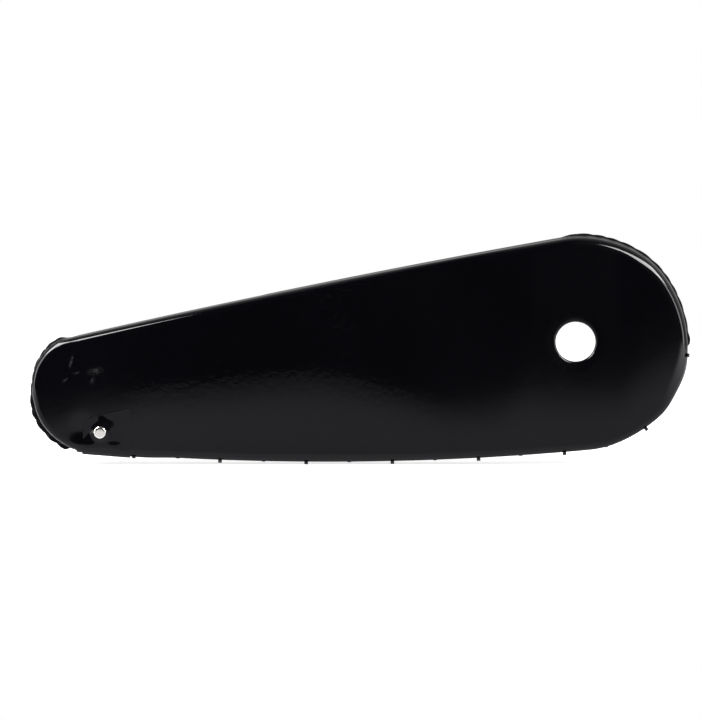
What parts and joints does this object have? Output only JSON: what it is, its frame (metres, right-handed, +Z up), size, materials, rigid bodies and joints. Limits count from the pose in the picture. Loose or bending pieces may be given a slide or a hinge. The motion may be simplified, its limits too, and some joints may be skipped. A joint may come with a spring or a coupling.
{
  "type": "chain guard",
  "caption": "Full bicycle chain case: glossy lacquered cloth stretched over a wire frame, with a crank hole, gathered ends, hooked underside and a press-stud tab; open at the back.",
  "frame": {"origin": "centre of the crank hole, in the middle of its turned-in wall", "axes": "+X forward along the bicycle, +Z up, +Y from the outer panel toward the bicycle frame"},
  "size_m": [0.6442, 0.0431, 0.224],
  "materials": {
    "lacquered_cloth": "high gloss lacquer on woven cloth",
    "nickel": "polished nickel plate",
    "black_wire": "satin black paint"
  },
  "bodies": {
    "root": {"cloth_cover": "lacquered_cloth", "closing_tab": "lacquered_cloth", "stud_cap": "nickel", "stud_socket": "nickel", "stud_ball": "nickel", "stud_post": "nickel", "front_wire_loop": "black_wire", "back_wire_loop": "black_wire", "near_hooks": "black_wire", "far_hooks": "black_wire", "front_fixing_lug": "black_wire", "rear_fixing_lug": "black_wire", "spacer_wire_01": "black_wire", "spacer_wire_02": "black_wire", "spacer_wire_03": "black_wire", "spacer_wire_04": "black_wire", "spacer_wire_05": "black_wire", "spacer_wire_06": "black_wire", "spacer_wire_07": "black_wire", "spacer_wire_08": "black_wire", "spacer_wire_09": "black_wire", "spacer_wire_10": "black_wire"}
  },
  "joints": []
}
